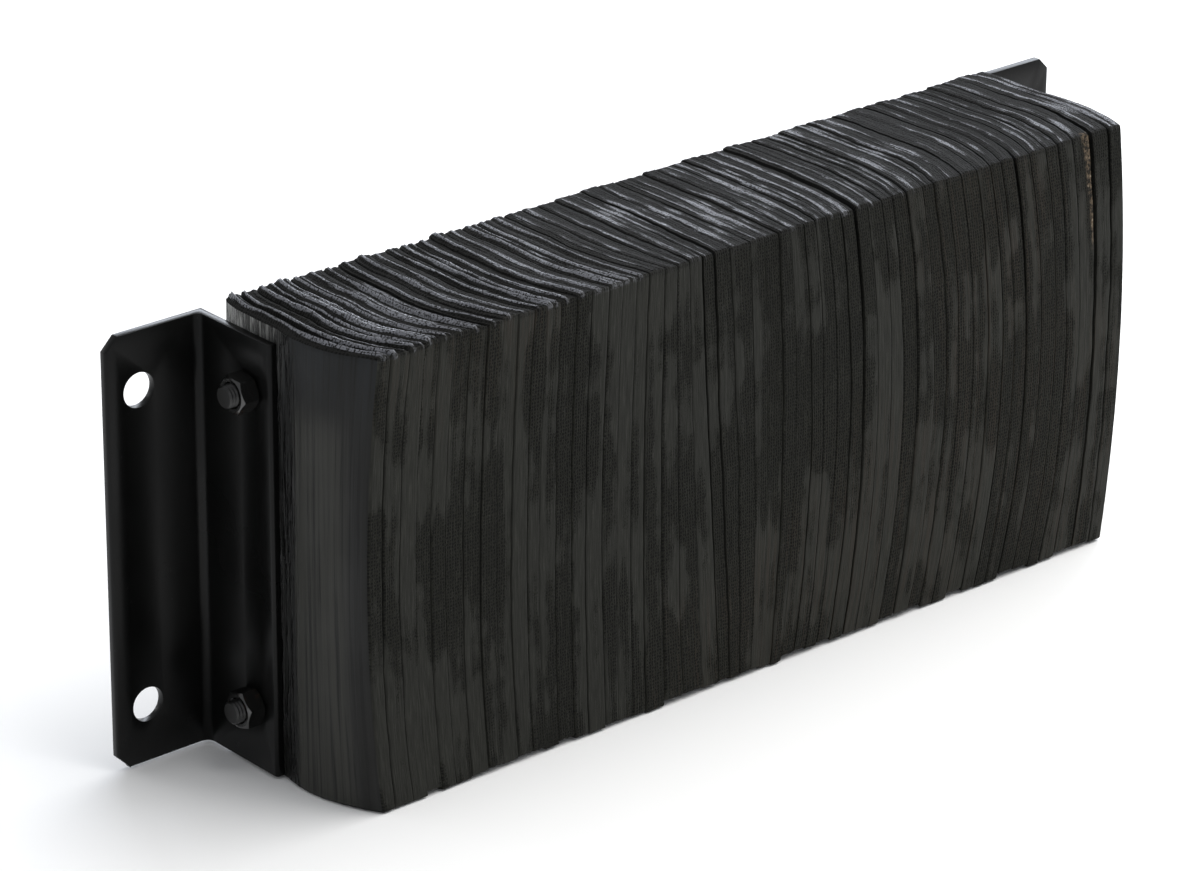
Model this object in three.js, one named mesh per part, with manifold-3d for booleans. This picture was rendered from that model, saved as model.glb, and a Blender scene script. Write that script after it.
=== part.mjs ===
// Laminated dock bumper: rubber plies threaded on two tie rods and clamped between a pair of steel angle irons.
// Millimetres, +Z up. X runs along the stack of plies, the wall is at +Y and the face that a truck meets at -Y.
import * as THREE from "three";
import { mergeVertices } from "three/addons/utils/BufferGeometryUtils.js";
import Module from "manifold-3d";

const wasm = await Module();
wasm.setup();

// Rubber pad
const STACK_LENGTH = 544;
const PLY_COUNT = 52;
const PLY_HEIGHT = 254;
const PLY_DEPTH = 114.3;
const BACK_RELIEF = 14.7; // the plies stop this far short of the wall
const PLY_GAP = 0.4;
const THICKNESS_SPREAD = 0.2; // share of a ply's mean thickness that it may gain or lose

// How far the cut edges of single plies stand back from the pad's outline
const FRONT_STEP = 2.4;
const TOP_STEP = 3.2;
const BOTTOM_STEP = 2.6;
const BACK_STEP = 2;

// Curve of the plies past the legs that clamp them, largest at the two ends of the stack
const BULGE = 3.5;
const FRONT_INSET = 1;
const CORNER_INSET = 8.6;
const BACK_INSET = 4;
const BACK_BEND_DEPTH = 36; // from the wall to where the plies turn in towards their back edges
const FRONT_DRIFT = 4.5; // all the plies lean this far to the right at the impact face
const PLY_BOW = 10.5; // plies in the right half bow this far to the right, between their top and bottom
const BOW_GROWS = [-60, 70]; // places along the stack, from its middle
const BOW_FADES = [195, 280];
const PLY_LEAN = 9; // plies just left of the middle lean this far to the left at the top
const LEAN_PLACE = -38;
const LEAN_REACH = 30;

// Angle irons
const ANGLE_LEG = 63.5;
const ANGLE_THICKNESS = 4.8;
const ANGLE_HEIGHT = 243;
const ANGLE_LIFT = 1.4; // above the underside of the plies
const ROOT_RADIUS = 4.8;
const TOE_RADIUS = 2;
const CORNER_CUT = 7.6;
const MOUNT_HOLE_DIAMETER = 19.05;
const MOUNT_HOLE_SPACING = 177.8;
const MOUNT_HOLE_FROM_HEEL = 43.3;
const SEAT_GAP = 0.3; // between an end ply and the leg that clamps it

// Tie rods and nuts
const ROD_DIAMETER = 12.7;
const ROD_SPACING = 177.8;
const ROD_RAISE = 3; // height of the rods above the mounting holes
const ROD_FROM_WALL = 45.5;
const ROD_PROUD = 4.5; // end of the rod past the face of its nut
const ROD_CHAMFER = 1.2;
const ROD_CLEARANCE = 0.3; // radial, in plies, legs and nuts
const NUT_ACROSS_FLATS = 19.05;
const NUT_HEIGHT = 11.1;
const NUT_CHAMFER = 1.3;
const NUT_SEAT_GAP = 0.1;
const NUT_TURNS = { left_upper: 37, left_lower: 15, right_upper: 17, right_lower: 41 }; // degrees

// Facets of curved shapes
const BEND_SHARES = [0.4, 0.72];
const HEIGHT_STEPS = 4;
const ROD_SIDES = 12;
const MOUNT_HOLE_SIDES = 24;
const ROUND_SIDES = 24;
const FILLET_SEGMENTS = 4;
const BORE_OVERRUN = 5;

const legPlane = STACK_LENGTH / 2 + SEAT_GAP;
const projection = BACK_RELIEF + PLY_DEPTH; // wall to impact face
const freeDepth = projection - ANGLE_LEG;
const angleMiddle = ANGLE_LIFT + ANGLE_HEIGHT / 2;
const rodHoleRadius = ROD_DIAMETER / 2 + ROD_CLEARANCE;
const rodMiddle = angleMiddle + ROD_RAISE;
const rodHeights = { lower: rodMiddle - ROD_SPACING / 2, upper: rodMiddle + ROD_SPACING / 2 };
const sides = { left: -1, right: 1 };

const rubber = new THREE.MeshStandardMaterial({ color: 0x2b2927, roughness: 0.9, metalness: 0 });
const paintedSteel = new THREE.MeshStandardMaterial({ color: 0x131315, roughness: 0.45, metalness: 0.2 });
const fastenerSteel = new THREE.MeshStandardMaterial({ color: 0x191613, roughness: 0.35, metalness: 0.5 });

// Solids from closed three.js geometries, and back again
function toSolid(geometry) {
  const bare = geometry.clone();
  for (const name of Object.keys(bare.attributes)) {
    if (name !== "position") bare.deleteAttribute(name);
  }
  const merged = mergeVertices(bare, 1e-4);
  const vertProperties = new Float32Array(merged.attributes.position.array);
  const triVerts = new Uint32Array(merged.index.array);
  return new wasm.Manifold(new wasm.Mesh({ numProp: 3, vertProperties, triVerts }));
}

function toGeometry(solid) {
  const mesh = solid.getMesh();
  const geometry = new THREE.BufferGeometry();
  geometry.setAttribute("position", new THREE.BufferAttribute(mesh.vertProperties, 3));
  geometry.setIndex(new THREE.BufferAttribute(mesh.triVerts, 1));
  geometry.computeVertexNormals();
  return geometry;
}

const cut = (body, tools) => tools.reduce((left, tool) => left.subtract(toSolid(tool)), toSolid(body));

// A bar along X whose facets line up with those of every other bar of ROD_SIDES sides
function barAlongX(radius, length, x, y, z) {
  const bar = new THREE.CylinderGeometry(radius, radius, length, ROD_SIDES);
  return bar.rotateZ(Math.PI / 2).translate(x, y, z);
}

const rodBores = (length, x) =>
  Object.values(rodHeights).map((z) => barAlongX(rodHoleRadius, length, x, -ROD_FROM_WALL, z));

// An uneven value from 0 to 1 that is always the same for one ply and one purpose
function uneven(index, purpose) {
  const wave = Math.sin(index * 12.9898 + purpose * 78.233) * 43758.5453;
  return wave - Math.floor(wave);
}

// Places where one ply meets the next, where the angle irons hold the stack straight
function plyBoundaries() {
  const shares = [];
  for (let i = 0; i < PLY_COUNT; i += 1) {
    shares.push(1 + THICKNESS_SPREAD * (2 * uneven(i, 1) - 1));
  }
  const total = shares.reduce((sum, share) => sum + share, 0);
  const places = [-STACK_LENGTH / 2];
  for (const share of shares) {
    places.push(places[places.length - 1] + (STACK_LENGTH * share) / total);
  }
  return places;
}

// Sideways shift of a ply's face: none between the legs, and past them a bulge, a bow and a lean
function shiftAt(place, y, z) {
  const along = (2 * place) / STACK_LENGTH;
  const forward = Math.max(0, (-y - ANGLE_LEG) / freeDepth);
  const fromMiddle = (2 * z) / PLY_HEIGHT - 1;
  const inset = FRONT_INSET + CORNER_INSET * fromMiddle ** 2;
  const backward = Math.max(0, (BACK_BEND_DEPTH + y) / (BACK_BEND_DEPTH - BACK_RELIEF));
  const bulge = BULGE * 4 * forward * (1 - forward);
  const grown = THREE.MathUtils.smoothstep(place, ...BOW_GROWS);
  const bow = PLY_BOW * grown * (1 - THREE.MathUtils.smoothstep(place, ...BOW_FADES)) * fromMiddle ** 2;
  const lean = PLY_LEAN * Math.exp(-(((place - LEAN_PLACE) / LEAN_REACH) ** 2)) * fromMiddle;
  const ends = along * (bulge - inset * forward ** 2 - BACK_INSET * backward ** 2);
  return (FRONT_DRIFT - bow - lean) * forward ** 2 + ends;
}

// Depths and heights at which the faces of a ply bend
const bends = BEND_SHARES.map((share) => -ANGLE_LEG - share * freeDepth);
const depthStations = [-BACK_RELIEF, -BACK_BEND_DEPTH, -ANGLE_LEG, ...bends, -projection];
const heightStations = Array.from({ length: HEIGHT_STEPS + 1 }, (_, i) => (i * PLY_HEIGHT) / HEIGHT_STEPS);

// The shift at a trimmed edge goes on straight from the stations, so that neighbours stay parallel
function trimmedShift(place, row, column, y, z) {
  const stationY = depthStations[column];
  const stationZ = heightStations[row];
  const innerY = depthStations[column === 0 ? 1 : column - 1];
  const innerZ = heightStations[row === 0 ? 1 : row - 1];
  const here = shiftAt(place, stationY, stationZ);
  const slopeY = (here - shiftAt(place, innerY, stationZ)) / (stationY - innerY);
  const slopeZ = (here - shiftAt(place, stationY, innerZ)) / (stationZ - innerZ);
  return here + slopeY * (y - stationY) + slopeZ * (z - stationZ);
}

// Both faces of a sheet get the same diagonals, so that they stay parallel where they curve
function matchDiagonals(sheet, cells) {
  const index = sheet.index.array;
  for (let cell = 0; cell < cells; cell += 1) {
    const [a, b, , , c, d] = index.slice(6 * cell, 6 * cell + 6);
    index.set([a, b, c, a, c, d], 6 * cell);
  }
}

function plyGeometry(number, places) {
  const columns = depthStations.length - 1;
  const rows = heightStations.length - 1;
  const sheet = new THREE.BoxGeometry(1, 1, 1, 1, columns, rows);
  matchDiagonals(sheet, columns * rows);
  const faces = { back: places[number] + PLY_GAP / 2, front: places[number + 1] - PLY_GAP / 2 };
  const trim = {
    back: -BACK_RELIEF - BACK_STEP * uneven(number, 2),
    front: -projection + FRONT_STEP * Math.max(0, uneven(number, 3) - 0.3),
    top: PLY_HEIGHT - TOP_STEP * Math.max(0, uneven(number, 4) - 0.2),
    bottom: BOTTOM_STEP * Math.max(0, uneven(number, 5) - 0.5),
  };
  const points = sheet.attributes.position;
  for (let i = 0; i < points.count; i += 1) {
    const place = points.getX(i) < 0 ? faces.back : faces.front;
    const column = Math.round((0.5 - points.getY(i)) * columns);
    const row = Math.round((0.5 + points.getZ(i)) * rows);
    let y = depthStations[column];
    let z = heightStations[row];
    if (column === 0) y = trim.back;
    if (column === columns) y = trim.front;
    if (row === 0) z = trim.bottom;
    if (row === rows) z = trim.top;
    points.setXYZ(i, place + trimmedShift(place, row, column, y, z), y, z);
  }
  return toGeometry(cut(sheet, rodBores(STACK_LENGTH * 2, 0)));
}

// Equal-leg angle seen from above: the heel at the origin, one leg along -X and one along -Y
function angleSection() {
  const inner = -ANGLE_THICKNESS;
  const root = inner - ROOT_RADIUS;
  const toe = -ANGLE_LEG + TOE_RADIUS;
  const section = new THREE.Shape();
  section.moveTo(0, 0);
  section.lineTo(-ANGLE_LEG, 0);
  section.lineTo(-ANGLE_LEG, inner + TOE_RADIUS);
  section.absarc(toe, inner + TOE_RADIUS, TOE_RADIUS, Math.PI, 1.5 * Math.PI, false);
  section.lineTo(root, inner);
  section.absarc(root, root, ROOT_RADIUS, 0.5 * Math.PI, 0, true);
  section.lineTo(inner, toe);
  section.absarc(inner + TOE_RADIUS, toe, TOE_RADIUS, Math.PI, 1.5 * Math.PI, false);
  section.lineTo(0, -ANGLE_LEG);
  return section;
}

function angleIron(side) {
  const options = { depth: ANGLE_HEIGHT, bevelEnabled: false, curveSegments: FILLET_SEGMENTS };
  const iron = new THREE.ExtrudeGeometry(angleSection(), options);
  if (side > 0) iron.rotateZ(Math.PI / 2);
  iron.translate(side * legPlane, 0, ANGLE_LIFT);
  const boreLength = 2 * (ANGLE_THICKNESS + BORE_OVERRUN);
  const tools = rodBores(boreLength, side * (legPlane + ANGLE_THICKNESS / 2));
  for (const end of [-1, 1]) {
    const hole = new THREE.CylinderGeometry(
      MOUNT_HOLE_DIAMETER / 2,
      MOUNT_HOLE_DIAMETER / 2,
      boreLength,
      MOUNT_HOLE_SIDES,
    );
    const holeZ = angleMiddle + (end * MOUNT_HOLE_SPACING) / 2;
    tools.push(hole.translate(side * (legPlane + MOUNT_HOLE_FROM_HEEL), -ANGLE_THICKNESS / 2, holeZ));
    const corner = new THREE.BoxGeometry(CORNER_CUT * Math.SQRT2, boreLength, CORNER_CUT * Math.SQRT2);
    const cornerZ = angleMiddle + (end * ANGLE_HEIGHT) / 2;
    corner.rotateY(Math.PI / 4).translate(side * (legPlane + ANGLE_LEG), -ANGLE_THICKNESS / 2, cornerZ);
    tools.push(corner);
  }
  return toGeometry(cut(iron, tools));
}

// A turned shape about X from half of its outline, given as distances from the middle and from the axis
function turnedAlongX(outline, segments, x, y, z) {
  const points = outline.map(([along, radius]) => new THREE.Vector2(radius, along));
  const turned = new THREE.LatheGeometry(points, segments);
  return turned.rotateZ(-Math.PI / 2).translate(x, y, z);
}

function tieRod(z) {
  const half = legPlane + ANGLE_THICKNESS + NUT_SEAT_GAP + NUT_HEIGHT + ROD_PROUD;
  const radius = ROD_DIAMETER / 2;
  const outline = [
    [-half, 0],
    [-half, radius - ROD_CHAMFER],
    [-half + ROD_CHAMFER, radius],
    [half - ROD_CHAMFER, radius],
    [half, radius - ROD_CHAMFER],
    [half, 0],
  ];
  return toGeometry(toSolid(turnedAlongX(outline, ROD_SIDES, 0, -ROD_FROM_WALL, z)));
}

function hexNut(side, z, turn) {
  const corner = NUT_ACROSS_FLATS / Math.sqrt(3);
  const middle = side * (legPlane + ANGLE_THICKNESS + NUT_SEAT_GAP + NUT_HEIGHT / 2);
  const hexagon = new THREE.CylinderGeometry(corner, corner, NUT_HEIGHT, 6);
  hexagon.rotateZ(Math.PI / 2).rotateX(THREE.MathUtils.degToRad(turn));
  hexagon.translate(middle, -ROD_FROM_WALL, z);
  const half = NUT_HEIGHT / 2;
  const crown = [
    [-half, 0],
    [-half, corner - NUT_CHAMFER],
    [-half + NUT_CHAMFER, corner + NUT_CHAMFER],
    [half - NUT_CHAMFER, corner + NUT_CHAMFER],
    [half, corner - NUT_CHAMFER],
    [half, 0],
  ];
  const chamfered = toSolid(turnedAlongX(crown, ROUND_SIDES, middle, -ROD_FROM_WALL, z));
  const bore = barAlongX(rodHoleRadius, NUT_HEIGHT + 2 * BORE_OVERRUN, middle, -ROD_FROM_WALL, z);
  return toGeometry(toSolid(hexagon).intersect(chamfered).subtract(toSolid(bore)));
}

function namedMesh(name, geometry, material) {
  const mesh = new THREE.Mesh(geometry, material);
  mesh.name = name;
  return mesh;
}

const bumper = new THREE.Group();
const boundaries = plyBoundaries();
for (let number = 0; number < PLY_COUNT; number += 1) {
  const name = `ply_${String(number + 1).padStart(2, "0")}`;
  bumper.add(namedMesh(name, plyGeometry(number, boundaries), rubber));
}
for (const [sideName, side] of Object.entries(sides)) {
  bumper.add(namedMesh(`angle_iron_${sideName}`, angleIron(side), paintedSteel));
}
for (const [height, z] of Object.entries(rodHeights)) {
  bumper.add(namedMesh(`tie_rod_${height}`, tieRod(z), fastenerSteel));
  for (const [sideName, side] of Object.entries(sides)) {
    const corner = `${sideName}_${height}`;
    bumper.add(namedMesh(`hex_nut_${corner}`, hexNut(side, z, NUT_TURNS[corner]), fastenerSteel));
  }
}

// The origin is on the floor, halfway between the wall and the impact face
bumper.position.y = projection / 2;

export default bumper;
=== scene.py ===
"""Looks of a laminated dock bumper: cut rubber plies, painted angle irons, tie rods, nuts and a studio."""

import math

import bmesh
import bpy
import numpy as np
from mathutils import Matrix, Vector
from mathutils.geometry import delaunay_2d_cdt


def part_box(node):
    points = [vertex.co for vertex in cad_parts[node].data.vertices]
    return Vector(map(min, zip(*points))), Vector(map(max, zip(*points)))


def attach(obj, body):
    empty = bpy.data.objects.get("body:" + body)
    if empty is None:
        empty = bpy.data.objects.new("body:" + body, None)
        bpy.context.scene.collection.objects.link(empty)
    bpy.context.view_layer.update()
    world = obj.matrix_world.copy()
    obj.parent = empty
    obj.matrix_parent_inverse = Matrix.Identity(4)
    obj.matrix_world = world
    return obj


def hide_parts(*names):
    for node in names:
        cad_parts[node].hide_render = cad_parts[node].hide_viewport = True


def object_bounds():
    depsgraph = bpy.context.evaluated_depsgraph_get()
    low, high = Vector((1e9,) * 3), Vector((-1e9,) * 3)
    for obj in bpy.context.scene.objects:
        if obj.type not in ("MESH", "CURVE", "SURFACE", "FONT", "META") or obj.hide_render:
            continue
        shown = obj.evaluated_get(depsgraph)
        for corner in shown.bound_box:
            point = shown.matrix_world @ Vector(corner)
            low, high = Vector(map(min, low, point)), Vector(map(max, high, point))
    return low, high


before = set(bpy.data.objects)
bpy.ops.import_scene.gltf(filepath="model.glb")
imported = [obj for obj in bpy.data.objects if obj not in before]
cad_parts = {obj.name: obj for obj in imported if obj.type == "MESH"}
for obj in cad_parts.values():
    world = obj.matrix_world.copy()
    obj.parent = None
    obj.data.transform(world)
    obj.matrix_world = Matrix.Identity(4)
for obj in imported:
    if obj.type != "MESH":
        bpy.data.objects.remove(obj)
cad_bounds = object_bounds()

bl_info = {
    "name": "Laminated dock bumper",
    "version": (1, 0, 0),
    "blender": (4, 5, 0),
    "location": "View3D > Sidebar > Dock bumper",
    "description": "Builds the finished surfaces of a laminated dock bumper around its construction model",
    "category": "Object",
}

MM = 0.001
PLY_NAMES = sorted(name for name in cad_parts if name.startswith("ply_"))
SIDES = {"left": -1, "right": 1}
HEIGHTS = ("lower", "upper")


def node_box(name):
    """Lowest and highest corner of a construction node, in millimetres."""
    low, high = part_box(name)
    return np.array(low) / MM, np.array(high) / MM


def node_points(name):
    """The points of a construction node's mesh, in millimetres."""
    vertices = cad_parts[name].data.vertices
    points = np.empty(len(vertices) * 3)
    vertices.foreach_get("co", points)
    return points.reshape(-1, 3) / MM


IRON_LOW, IRON_HIGH = node_box("angle_iron_left")
ROD_LOW, ROD_HIGH = node_box("tie_rod_lower")
WALL_Y = float(IRON_HIGH[1])
LEG = float(IRON_HIGH[0] - IRON_LOW[0])
LEG_PLANE = float(-IRON_HIGH[0])
ROD_RADIUS = float(ROD_HIGH[2] - ROD_LOW[2]) / 2


def length(name, description, default, **limits):
    """A size in millimetres."""
    stated = f"{description}, in millimetres"
    return bpy.props.FloatProperty(name=name, description=stated, default=default, **limits)


def turning(name, description, degrees):
    """An angle, whose default is given in degrees."""
    default = math.radians(degrees)
    return bpy.props.FloatProperty(name=name, description=description, default=default, subtype="ANGLE")


def colour(name, description, default):
    """A linear colour."""
    return bpy.props.FloatVectorProperty(
        name=name, description=description, default=default, subtype="COLOR", size=3, min=0, max=1
    )


# The panel shows the docstring of each group of settings as its heading

class PadSettings(bpy.types.PropertyGroup):
    """Rubber pad"""

    bulge: length("Bulge", "How far the plies swell sideways past the angle irons", 3.5)
    front_inset: length("Front inset", "Turn inwards at the impact face, half way up", 1.0)
    corner_inset: length("Corner inset", "Extra turn inwards at the front corners", 8.6)
    back_inset: length("Back inset", "Turn inwards at the back edges", 4.0)
    back_bend: length("Back bend", "Depth from the wall where the plies turn towards their back edges", 36.0)
    front_drift: length("Front drift", "Lean of all plies to the right at the impact face", 4.5)
    bow: length("Bow", "How far plies in the right half bow to the right between top and bottom", 10.5)
    lean: length("Lean", "How far plies just left of the middle lean to the left at the top", 9.0)
    wander: length("Wander", "How far the line between two plies strays", 0.75, min=0)
    edge_round: length("Edge rounding", "Width of the worn edge of a ply", 0.45, min=0)
    top_trim: length("Uneven tops", "Most that a ply is lower than the highest one", 1.3, min=0)
    front_trim: length("Uneven fronts", "Most that a ply stands back on the impact face", 0.8, min=0)
    ridge_top: length("Ridges on top", "Height of the ridges at the left end", 2.7, min=0)
    saw_marks: length("Saw marks", "Height of the ridges that the saw left", 1.0, min=0)
    fuzz: length("Fuzz", "Height of the fine torn roughness", 0.6, min=0)
    bottom_trim: length("Uneven bottoms", "Most that a ply ends above the floor", 1.7, min=0)
    back_trim: length("Uneven backs", "Most that a ply stands forward at its back edge", 1.4, min=0)
    seed: bpy.props.FloatProperty(name="Seed", description="Picks the pattern of ridges", default=3.0)
    rubber: colour("Rubber", "Colour of the stippled rubber", (0.0118, 0.0121, 0.0086))
    smooth_rubber: colour("Smooth rubber", "Colour of its smooth patches", (0.0182, 0.0187, 0.0148))
    # Smeared ridges on top, lightened and tinted blue: partly smeared rubber, partly a painted sheen of the
    # back light
    top_smear_and_sheen: colour("Rubber on top", "Colour of the smeared ridges on top", (0.152, 0.156, 0.174))
    brown: colour("Brown tint", "Colour of the stained streaks", (0.029, 0.021, 0.015))
    moulded: colour("Moulded rubber", "Colour of the two outer faces of the stack", (0.0075, 0.0077, 0.0070))
    # Also the colour of the painted highlight at the back top of both outer faces
    worn_band_and_highlight: colour("Worn band", "Colour of the rubbed bands on the outer faces", (0.034, 0.034, 0.029))
    cord: colour("Bare cord", "Colour of the cord that shows in the split", (0.095, 0.071, 0.047))


class SteelSettings(bpy.types.PropertyGroup):
    """Angle irons"""

    thickness: length("Thickness", "Thickness of both legs", 4.8, min=1)
    root_radius: length("Root radius", "Fillet between the legs", 4.8, min=0.5)
    toe_radius: length("Toe radius", "Rounding of each leg's inner edge", 2.0, min=0.2)
    corner_cut: length("Corner cut", "Clipped corners of the wall leg", 7.6, min=0)
    hole: length("Mounting hole", "Diameter of the mounting holes", 19.05, min=1)
    hole_from_heel: length("Hole from heel", "Distance of the mounting holes from the heel", 43.3)
    hole_spacing: length("Hole spacing", "Distance between the two mounting holes", 177.8)
    edge_round: length("Edge rounding", "Rounding of the sheared edges", 0.45, min=0)
    paint: colour("Paint", "Colour of the satin paint", (0.0022, 0.0023, 0.0022))


class FastenerSettings(bpy.types.PropertyGroup):
    """Tie rods and nuts"""

    pitch: length("Thread pitch", "Distance between two turns of the thread", 1.95, min=0.5)
    thread_depth: length("Thread depth", "Depth of the thread", 0.95, min=0)
    thread_length: length("Thread length", "Threaded length at each end", 45.0, min=1)
    across_flats: length("Across flats", "Width of a nut between two flats", 19.05, min=5)
    face_share: bpy.props.FloatProperty(
        name="Face share", description="Diameter of a nut's flat face against its width", default=0.93
    )
    countersink: length("Countersink", "Width of the bevel around a nut's bore", 0.8, min=0)
    paint: colour("Paint", "Colour of the gloss paint", (0.003, 0.003, 0.0028))
    rust: colour("Rust", "Colour of the traces of rust", (0.105, 0.043, 0.016))


class StageSettings(bpy.types.PropertyGroup):
    """Camera, floor and lights"""

    heading: turning("Heading", "Direction of the view, from +Y towards +X", 40.926)
    tilt: turning("Tilt", "Downward tilt of the view", 23.640)
    roll: turning("Roll", "Turn of the camera about its axis", 0.488)
    position: bpy.props.FloatVectorProperty(
        name="Position",
        description="Place of the camera",
        default=(-1.73801, -1.93788, 1.25742),
        unit="LENGTH",
    )
    lens: bpy.props.FloatProperty(name="Lens", description="Focal length in millimetres", default=157.09)
    floor: colour("Floor", "Colour of the floor", (0.96, 0.96, 0.96))


SETTINGS = {
    "bumper_pad": PadSettings,
    "bumper_steel": SteelSettings,
    "bumper_fasteners": FastenerSettings,
    "bumper_stage": StageSettings,
}


# Small tools for node trees

class Tree:
    """Adds nodes to a node tree and links them."""

    def __init__(self, tree):
        self.tree = tree

    def node(self, kind, inputs=None, **settings):
        """A node with the given settings. An input is a value or another node's socket."""
        made = self.tree.nodes.new(kind)
        for name, value in settings.items():
            setattr(made, name, value)
        for name, value in (inputs or {}).items():
            self.feed(made.inputs[name], value)
        return made

    def feed(self, socket, value):
        """Links a socket, or sets a plain value."""
        if isinstance(value, bpy.types.NodeSocket):
            self.tree.links.new(value, socket)
        else:
            socket.default_value = value

    def math(self, operation, first, second=0.0, clamp=False):
        made = self.node("ShaderNodeMath", {0: first, 1: second}, operation=operation, use_clamp=clamp)
        return made.outputs[0]

    def plus(self, first, second, clamp=False):
        return self.math("ADD", first, second, clamp)

    def minus(self, first, second):
        return self.math("SUBTRACT", first, second)

    def times(self, first, second):
        return self.math("MULTIPLY", first, second)

    def swayed(self, value, pattern, weight):
        """A value raised where a pattern is above its middle, and lowered where it is below."""
        return self.plus(value, self.times(self.minus(pattern, 0.5), weight))

    def ramp(self, value, low, high):
        """0 at low, 1 at high, flat beyond them and smooth between. Low may be the larger of the two."""
        made = self.node("ShaderNodeMapRange", {"Value": value, "From Min": low, "From Max": high})
        made.interpolation_type = "SMOOTHSTEP"
        return made.outputs["Result"]

    def mix(self, share, first, second):
        """A colour between two, each given by a socket or by three values."""
        made = self.node("ShaderNodeMix", {"Factor": share}, data_type="RGBA")
        for socket, value in ((made.inputs[6], first), (made.inputs[7], second)):
            self.feed(socket, value if isinstance(value, bpy.types.NodeSocket) else (*value, 1.0))
        return made.outputs[2]

    def blend(self, share, first, second):
        """A value between two."""
        inputs = {"Factor": share, 2: first, 3: second}
        return self.node("ShaderNodeMix", inputs, data_type="FLOAT").outputs[0]

    def scaled(self, vector, scales):
        """A vector multiplied by three scales, which stretch a pattern."""
        return self.node("ShaderNodeMapping", {"Vector": vector, "Scale": scales}).outputs["Vector"]

    def noise(self, vector, scale, detail=3.0, roughness=0.55):
        inputs = {"Vector": vector, "Scale": scale, "Detail": detail, "Roughness": roughness}
        return self.node("ShaderNodeTexNoise", inputs).outputs["Fac"]

    def stretched(self, vector, scales, detail, roughness):
        """Noise that its three scales stretch."""
        return self.noise(self.scaled(vector, scales), 1.0, detail, roughness)

    def attribute(self, name):
        return self.node("ShaderNodeAttribute", attribute_name=name).outputs

    def bump(self, height, strength, distance, normal=None):
        made = self.node("ShaderNodeBump", {"Height": height, "Strength": strength, "Distance": distance})
        if normal is not None:
            self.feed(made.inputs["Normal"], normal)
        return made.outputs["Normal"]


def new_material(name):
    """An empty material, its tree builder and its surface shader."""
    material = bpy.data.materials.new(name)
    material.use_nodes = True
    material.node_tree.nodes.clear()
    tree = Tree(material.node_tree)
    shader = tree.node("ShaderNodeBsdfPrincipled")
    output = tree.node("ShaderNodeOutputMaterial")
    tree.feed(output.inputs["Surface"], shader.outputs["BSDF"])
    return material, tree, shader


# Fixed tints that the materials mix in, as linear colours

CLOUDED = (0.006, 0.006, 0.005)
COMBED_DARK = (0.004, 0.004, 0.0026)
COMBED_LIGHT = (0.046, 0.047, 0.039)
TOP_DARK = (0.0075, 0.0075, 0.007)
TOP_LIGHT = (0.014, 0.014, 0.0135)
SCORED = (0.004, 0.004, 0.0034)
CORD_END = (0.0018, 0.0018, 0.0015)
SPECK = (0.08, 0.08, 0.074)
CRUMB = (0.014, 0.012, 0.009)
FRAYED_CORD = (0.33, 0.28, 0.21)
MOULDED_LIGHT = (0.0125, 0.013, 0.0128)
BLUISH = (0.013, 0.016, 0.020)
# Pale painted highlight for the back top corner of the left end
CORNER_HIGHLIGHT = (0.44, 0.442, 0.425)
STREAKED = (0.004, 0.004, 0.004)
GLOSSY = (0.0025, 0.0025, 0.0025)
CHIPPED_PAINT = (0.02, 0.02, 0.021)


# Materials

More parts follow.
